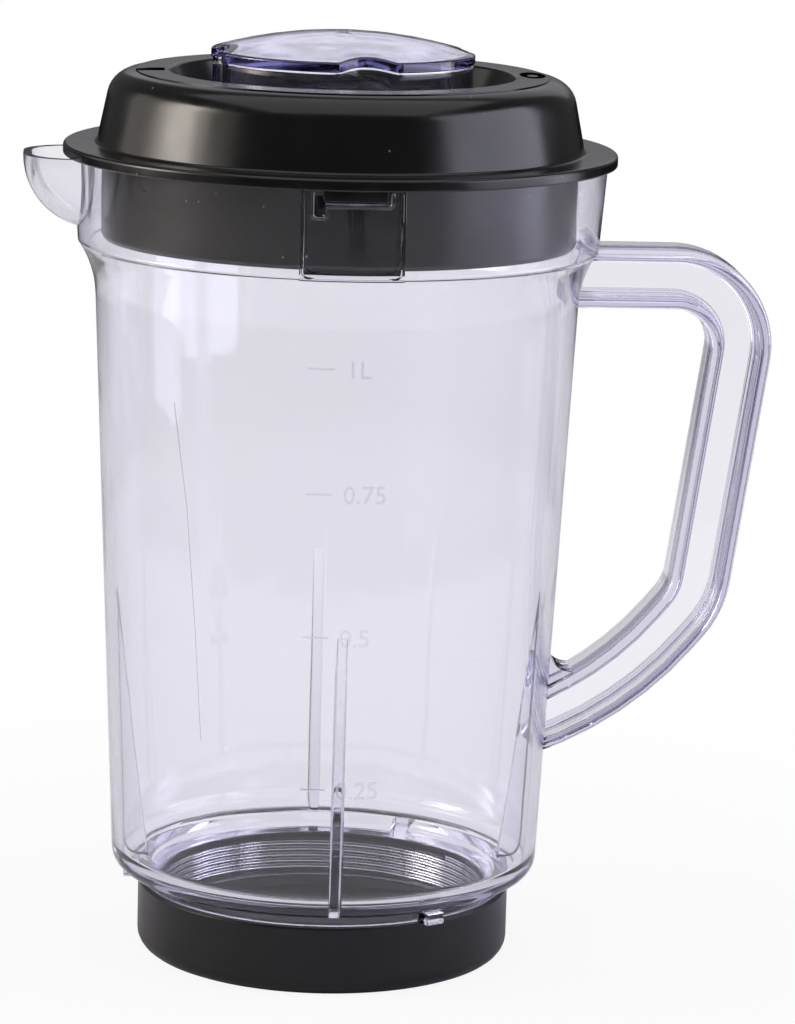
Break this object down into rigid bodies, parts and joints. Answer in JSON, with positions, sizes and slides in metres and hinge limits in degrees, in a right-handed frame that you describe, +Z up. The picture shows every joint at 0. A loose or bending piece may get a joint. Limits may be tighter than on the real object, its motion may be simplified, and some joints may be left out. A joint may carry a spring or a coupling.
{
  "type": "blender jar",
  "caption": "Clear tapered jug with handle and pouring spout, black push-in lid with a clear filler cap, and a black screw base that closes its floor.",
  "frame": {"origin": "on the jar's axis at the underside of the base cap", "axes": "+Z up along the jar's axis, +X towards the handle, -X towards the spout, -Y towards the graduated front"},
  "size_m": [0.1686, 0.1238, 0.2106],
  "materials": {
    "clear_plastic": "clear moulded",
    "clear_cap_plastic": "clear moulded",
    "black_gloss_plastic": "gloss moulded",
    "black_satin_plastic": "satin moulded",
    "seal_rubber": "matt"
  },
  "bodies": {
    "base": {"base_cap": "black_satin_plastic"},
    "seal": {"base_seal": "seal_rubber"},
    "jar": {"jar": "clear_plastic"},
    "lid": {"lid": "black_gloss_plastic"},
    "filler": {"filler_cap": "clear_cap_plastic"}
  },
  "joints": [
    {"name": "base_screw", "type": "hinge", "parent": "base", "child": "seal", "pos_m": [0, 0, 0], "axis": [0, 0, 1], "range_deg": [0, 1440]},
    {"name": "base_rise", "type": "slide", "parent": "seal", "child": "jar", "axis": [0, 0, 1], "range_m": [0, 0.0112]},
    {"name": "lid_lift", "type": "slide", "parent": "jar", "child": "lid", "axis": [0, 0, 1], "range_m": [0, 0.045]},
    {"name": "filler_lift", "type": "slide", "parent": "lid", "child": "filler", "axis": [0, 0, 1], "range_m": [0, 0.03]}
  ],
  "couplings": [
    {"joint": "base_rise", "follows": "base_screw", "m_per_rad": 0.00044563}
  ]
}
